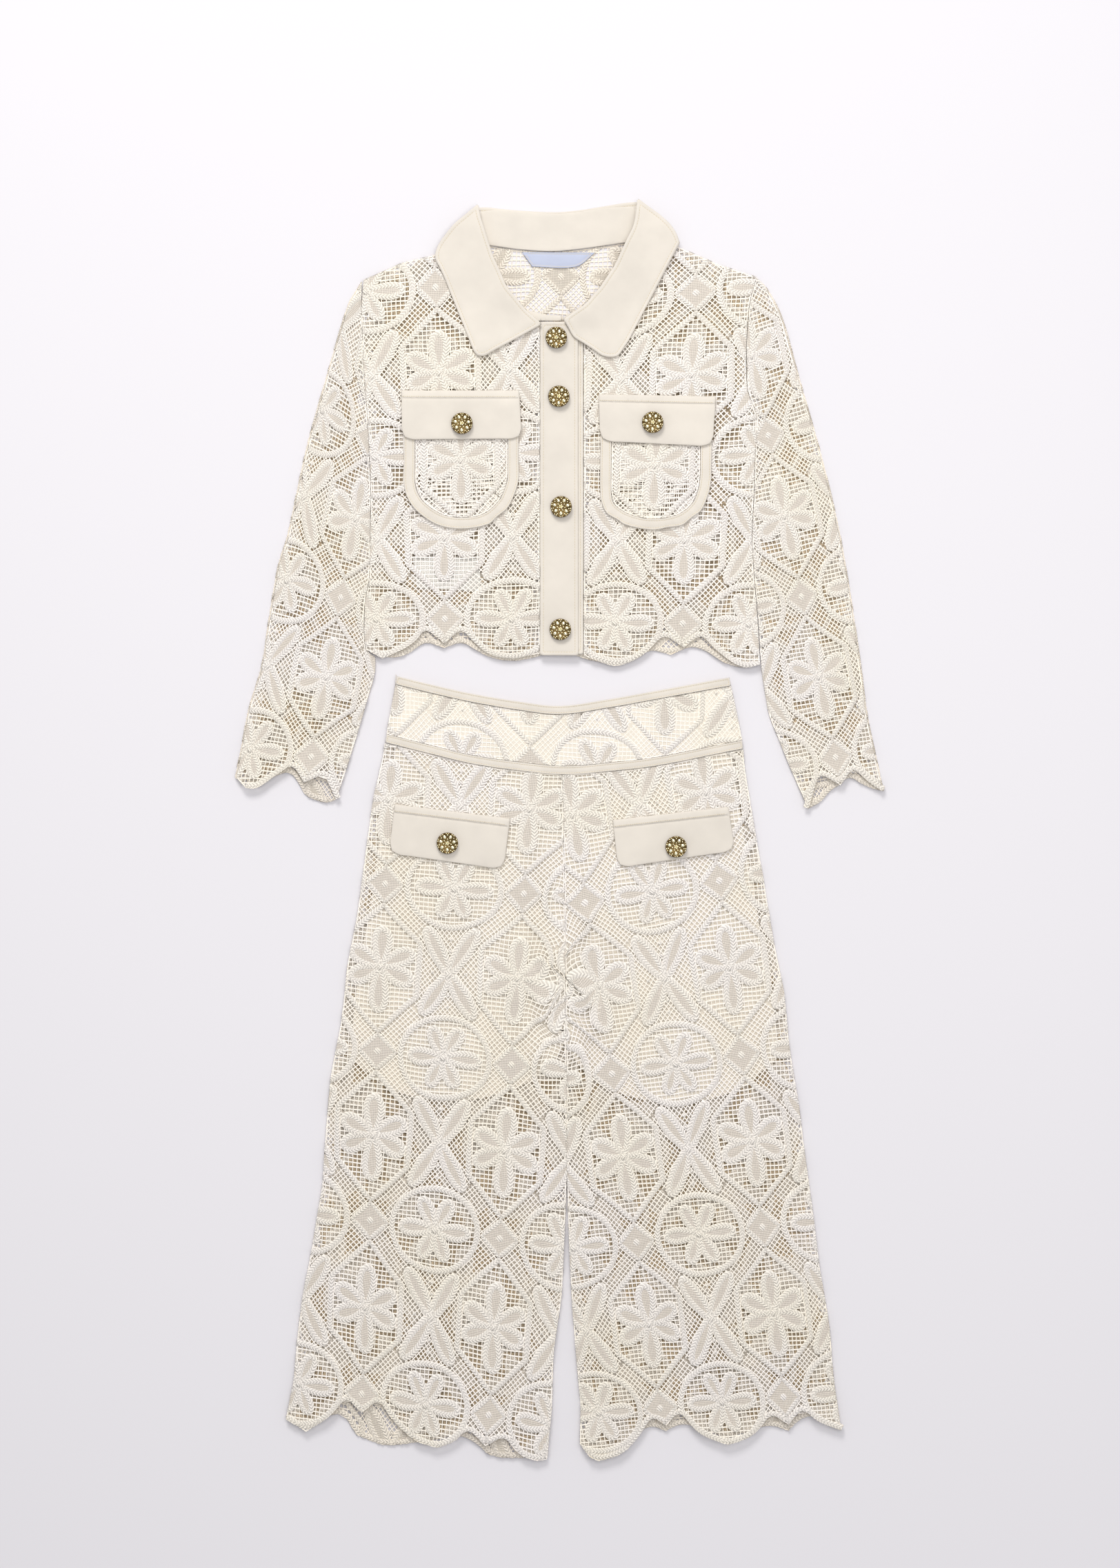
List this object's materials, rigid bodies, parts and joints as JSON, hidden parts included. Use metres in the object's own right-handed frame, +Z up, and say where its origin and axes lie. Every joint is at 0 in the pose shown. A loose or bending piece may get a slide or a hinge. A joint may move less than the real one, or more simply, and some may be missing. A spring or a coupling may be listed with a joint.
{
  "type": "child's lace jacket and trousers set",
  "caption": "Child's two-piece suit laid flat: a cropped corded-lace jacket with collar, placket and chest pockets, above wide-leg lace trousers with hip flaps and a short lining.",
  "frame": {"origin": "Middle of the whole laid-out set in X and Y, on the surface it lies on.", "axes": "+Y runs from the trouser hems to the collar, +X to the wearer's left, +Z up off the surface."},
  "size_m": [0.5648, 1.097, 0.0165],
  "materials": {
    "lace": "matte corded cotton lace",
    "trim_cloth": "matte plain weave",
    "lining_cloth": "matte lining",
    "label_cloth": "woven tape",
    "care_tape": "satin tape",
    "button_metal": "antiqued filigree"
  },
  "bodies": {
    "root": {"jacket_back": "lace", "jacket_front_right": "lace", "jacket_front_left": "lace", "sleeve_right": "lace", "sleeve_left": "lace", "chest_pouch_right": "lace", "chest_pouch_left": "lace", "trouser_front_right": "lace", "trouser_front_left": "lace", "trouser_back_right": "lace", "trouser_back_left": "lace", "waistband_front": "lace", "waistband_back": "lace", "collar": "trim_cloth", "collar_stand": "trim_cloth", "placket_over": "trim_cloth", "placket_under": "trim_cloth", "chest_binding_right": "trim_cloth", "chest_binding_left": "trim_cloth", "chest_flap_right": "trim_cloth", "chest_flap_left": "trim_cloth", "waist_binding_top": "trim_cloth", "waist_binding_bottom": "trim_cloth", "hip_flap_right": "trim_cloth", "hip_flap_left": "trim_cloth", "lining_right": "lining_cloth", "lining_left": "lining_cloth", "neck_label": "label_cloth", "care_label": "care_tape", "button_front_1": "button_metal", "button_front_2": "button_metal", "button_front_3": "button_metal", "button_front_4": "button_metal", "button_chest_right": "button_metal", "button_chest_left": "button_metal", "button_hip_right": "button_metal", "button_hip_left": "button_metal"}
  },
  "joints": []
}
